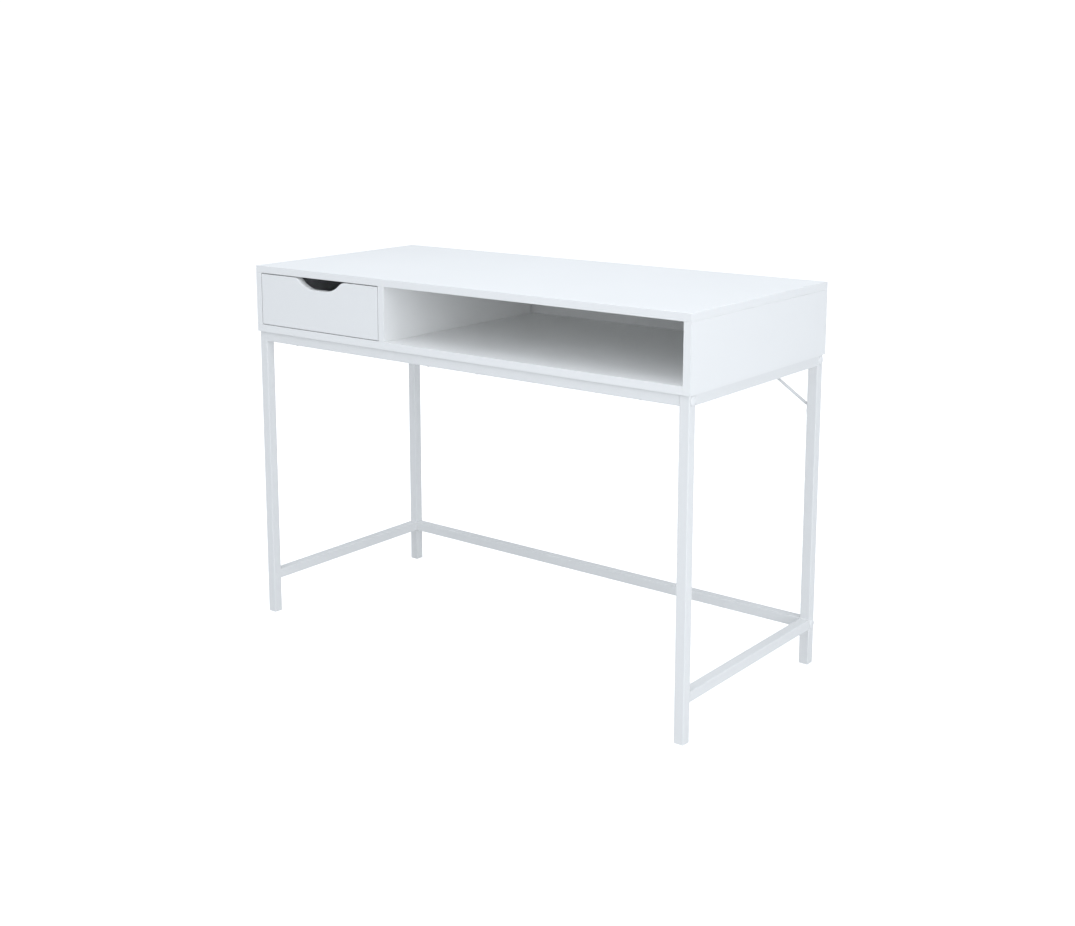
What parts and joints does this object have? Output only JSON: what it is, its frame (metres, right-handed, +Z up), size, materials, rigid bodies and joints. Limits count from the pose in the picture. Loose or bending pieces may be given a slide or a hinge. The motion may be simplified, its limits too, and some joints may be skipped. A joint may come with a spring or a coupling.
{
  "type": "writing desk",
  "caption": "White writing desk: a shallow board cabinet with a drawer at the left and an open shelf, on a square-tube steel frame.",
  "frame": {"origin": "on the floor, under the centre of the worktop's outline", "axes": "+X along the desk towards the open shelf, away from the drawer; +Y from the sitter towards the wall; +Z up"},
  "size_m": [1.05, 0.48, 0.75],
  "materials": {
    "white_board": "satin white melamine-faced particle board, lightly textured, edges banded in the same white",
    "drawer_board": "white foil-wrapped board of the drawer box",
    "hardboard": "thin white-lacquered hardboard",
    "white_steel": "white powder coat on square steel tube, satin with a faint orange peel",
    "runner_steel": "white epoxy-coated sheet steel",
    "white_plastic": "white moulded plastic, satin",
    "nylon": "natural nylon",
    "beech": "raw beech",
    "zinc": "die-cast zinc, dull grey",
    "plated_steel": "zinc-plated steel"
  },
  "bodies": {
    "desk": {"top_panel": "white_board", "bottom_panel": "white_board", "left_side_panel": "white_board", "right_side_panel": "white_board", "divider_panel": "white_board", "back_panel": "white_board", "cam_locks": "zinc", "cam_bolts": "plated_steel", "cabinet_dowels": "beech", "divider_screws": "plated_steel", "cabinet_screws": "plated_steel", "front_left_leg": "white_steel", "front_right_leg": "white_steel", "rear_left_leg": "white_steel", "rear_right_leg": "white_steel", "left_side_rail": "white_steel", "right_side_rail": "white_steel", "left_stretcher": "white_steel", "right_stretcher": "white_steel", "front_rail": "white_steel", "rear_rail": "white_steel", "rear_stretcher": "white_steel", "rail_end_nuts": "white_steel", "frame_bolts": "plated_steel", "bolt_caps": "white_plastic", "front_left_foot": "white_plastic", "front_right_foot": "white_plastic", "rear_left_foot": "white_plastic", "rear_right_foot": "white_plastic", "rear_brace_left": "white_steel", "rear_brace_right": "white_steel", "brace_screws": "plated_steel", "left_runner": "runner_steel", "right_runner": "runner_steel", "runner_screws": "plated_steel", "runner_axles": "plated_steel"},
    "drawer": {"drawer_front": "white_board", "drawer_left_side": "drawer_board", "drawer_right_side": "drawer_board", "drawer_back": "drawer_board", "drawer_bottom": "hardboard", "drawer_left_runner": "runner_steel", "drawer_right_runner": "runner_steel", "drawer_runner_screws": "plated_steel", "drawer_runner_axles": "plated_steel", "drawer_cam_locks": "zinc", "drawer_cam_bolts": "plated_steel", "drawer_dowels": "beech", "drawer_back_screws": "plated_steel", "drawer_bottom_screws": "plated_steel"},
    "left_cabinet_roller": {"left_cabinet_roller": "nylon"},
    "right_cabinet_roller": {"right_cabinet_roller": "nylon"},
    "left_drawer_roller": {"left_drawer_roller": "nylon"},
    "right_drawer_roller": {"right_drawer_roller": "nylon"}
  },
  "joints": [
    {"name": "drawer_slide", "type": "slide", "parent": "desk", "child": "drawer", "axis": [0, -1, 0], "range_m": [0, 0.26]},
    {"name": "left_cabinet_roller_spin", "type": "hinge", "parent": "desk", "child": "left_cabinet_roller", "pos_m": [-0.5038, -0.21, 0.65115], "axis": [1, 0, 0], "range_deg": [0, 1870]},
    {"name": "right_cabinet_roller_spin", "type": "hinge", "parent": "desk", "child": "right_cabinet_roller", "pos_m": [-0.1837, -0.21, 0.65115], "axis": [1, 0, 0], "range_deg": [0, 1870]},
    {"name": "left_drawer_roller_spin", "type": "hinge", "parent": "drawer", "child": "left_drawer_roller", "pos_m": [-0.5039, 0.114, 0.64955], "axis": [1, 0, 0], "range_deg": [0, 1870]},
    {"name": "right_drawer_roller_spin", "type": "hinge", "parent": "drawer", "child": "right_drawer_roller", "pos_m": [-0.1836, 0.114, 0.64955], "axis": [1, 0, 0], "range_deg": [0, 1870]}
  ],
  "couplings": [
    {"joint": "left_cabinet_roller_spin", "follows": "drawer_slide", "rad_per_m": 125},
    {"joint": "right_cabinet_roller_spin", "follows": "drawer_slide", "rad_per_m": 125},
    {"joint": "left_drawer_roller_spin", "follows": "drawer_slide", "rad_per_m": 125},
    {"joint": "right_drawer_roller_spin", "follows": "drawer_slide", "rad_per_m": 125}
  ]
}
